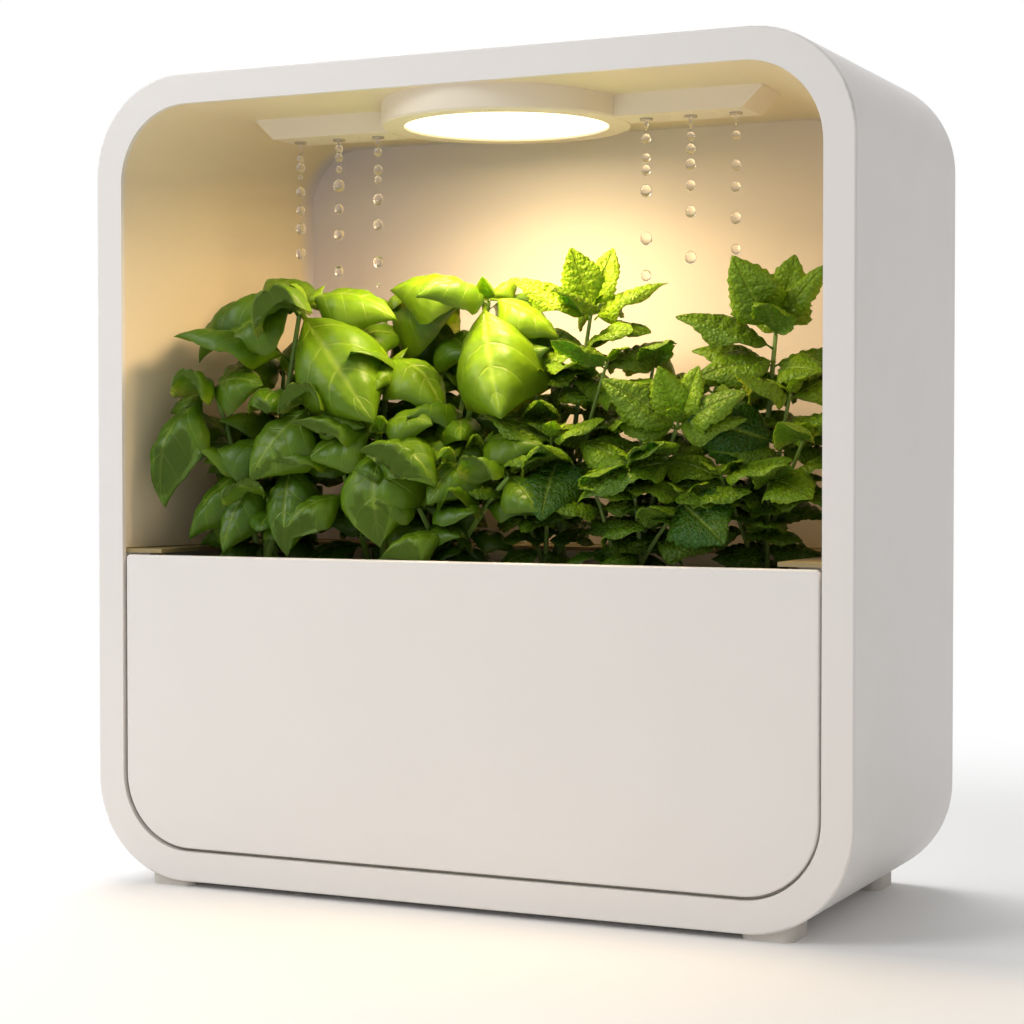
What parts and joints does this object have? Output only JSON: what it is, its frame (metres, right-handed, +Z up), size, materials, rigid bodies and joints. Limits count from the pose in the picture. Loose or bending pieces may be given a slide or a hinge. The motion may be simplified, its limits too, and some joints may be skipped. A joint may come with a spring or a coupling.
{
  "type": "countertop hydroponic garden",
  "caption": "Rounded countertop herb garden with a ceiling lamp and drip bars, a pull-out water drawer and a lift-out planting tray.",
  "frame": {"origin": "on the table under the middle of the cabinet", "axes": "+Z up, the open front faces -Y, +X to the right as seen from the front"},
  "size_m": [0.4, 0.168, 0.408],
  "materials": {
    "cabinet_cream": "satin moulded",
    "liner_cream": "satin moulded",
    "bay_cream": "satin moulded",
    "foot_rubber": "soft matte",
    "lamp_cream": "satin moulded",
    "lamp_opal": "frosted, lit from behind",
    "board_green": "solder mask",
    "led_yellow": "phosphor",
    "nozzle_steel": "polished",
    "hose_silicone": "translucent satin",
    "fitting_grey": "moulded",
    "pump_black": "moulded",
    "shaft_steel": "ground",
    "rotor_dark": "moulded",
    "screw_steel": "satin",
    "inlet_black": "moulded",
    "button_grey": "satin moulded",
    "tank_smoke": "moulded",
    "seal_rubber": "soft matte",
    "float_white": "foam",
    "tray_cream": "satin moulded",
    "cup_black": "moulded",
    "plug_brown": "peat sponge",
    "basil_leaf": "living leaf",
    "mint_leaf": "living leaf"
  },
  "bodies": {
    "cabinet": {"outer_shell": "cabinet_cream", "growing_liner": "liner_cream", "drawer_bay": "bay_cream", "rear_cover": "cabinet_cream", "rear_cover_screws": "screw_steel", "control_board": "board_green", "power_inlet": "inlet_black", "tact_switch": "inlet_black", "lamp_housing": "lamp_cream", "lamp_diffuser": "lamp_opal", "led_board": "board_green", "led_chips": "led_yellow", "rain_bar_right": "lamp_cream", "rain_bar_left": "lamp_cream", "rain_bar_lid_right": "fitting_grey", "rain_bar_lid_left": "fitting_grey", "drip_nozzles": "nozzle_steel", "riser_hose": "hose_silicone", "hose_tee": "fitting_grey", "feed_hose_right": "hose_silicone", "feed_hose_left": "hose_silicone", "feed_elbow_right": "fitting_grey", "feed_elbow_left": "fitting_grey", "suction_spigot": "fitting_grey", "pump_cover": "pump_black", "pump_housing": "pump_black", "pump_shaft": "shaft_steel", "level_sensor": "pump_black", "drawer_runner_right": "fitting_grey", "drawer_runner_left": "fitting_grey", "foot_front_left": "foot_rubber", "foot_front_right": "foot_rubber", "foot_rear_left": "foot_rubber", "foot_rear_right": "foot_rubber"},
    "drawer": {"drawer_front": "cabinet_cream", "reservoir_tank": "tank_smoke", "tank_slide_right": "fitting_grey", "tank_slide_left": "fitting_grey", "dock_seal": "seal_rubber", "float_guide": "tank_smoke"},
    "tray": {"grow_tray": "tray_cream", "grow_plugs": "plug_brown", "net_cup_1": "cup_black", "net_cup_2": "cup_black", "net_cup_3": "cup_black", "net_cup_4": "cup_black", "net_cup_5": "cup_black", "net_cup_6": "cup_black", "basil_1": "basil_leaf", "basil_2": "basil_leaf", "basil_3": "basil_leaf", "mint_1": "mint_leaf", "mint_2": "mint_leaf", "mint_3": "mint_leaf"},
    "impeller": {"pump_impeller": "rotor_dark"},
    "water_float": {"level_float": "float_white"},
    "button": {"power_button": "button_grey"}
  },
  "joints": [
    {"name": "drawer_slide", "type": "slide", "parent": "cabinet", "child": "drawer", "axis": [0, -1, 0], "range_m": [0, 0.08]},
    {"name": "tray_lift", "type": "slide", "parent": "drawer", "child": "tray", "axis": [0, 0, 1], "range_m": [0, 0.03]},
    {"name": "float_rise", "type": "slide", "parent": "drawer", "child": "water_float", "axis": [0, 0, 1], "range_m": [0, 0.043]},
    {"name": "impeller_spin", "type": "hinge", "parent": "cabinet", "child": "impeller", "pos_m": [-0.06, 0.05, 0.048], "axis": [0, 1, 0], "continuous": true},
    {"name": "button_press", "type": "slide", "parent": "cabinet", "child": "button", "axis": [0, -1, 0], "range_m": [0, 0.0012], "stiffness_N_per_m": 500, "springref_m": -0.001}
  ]
}
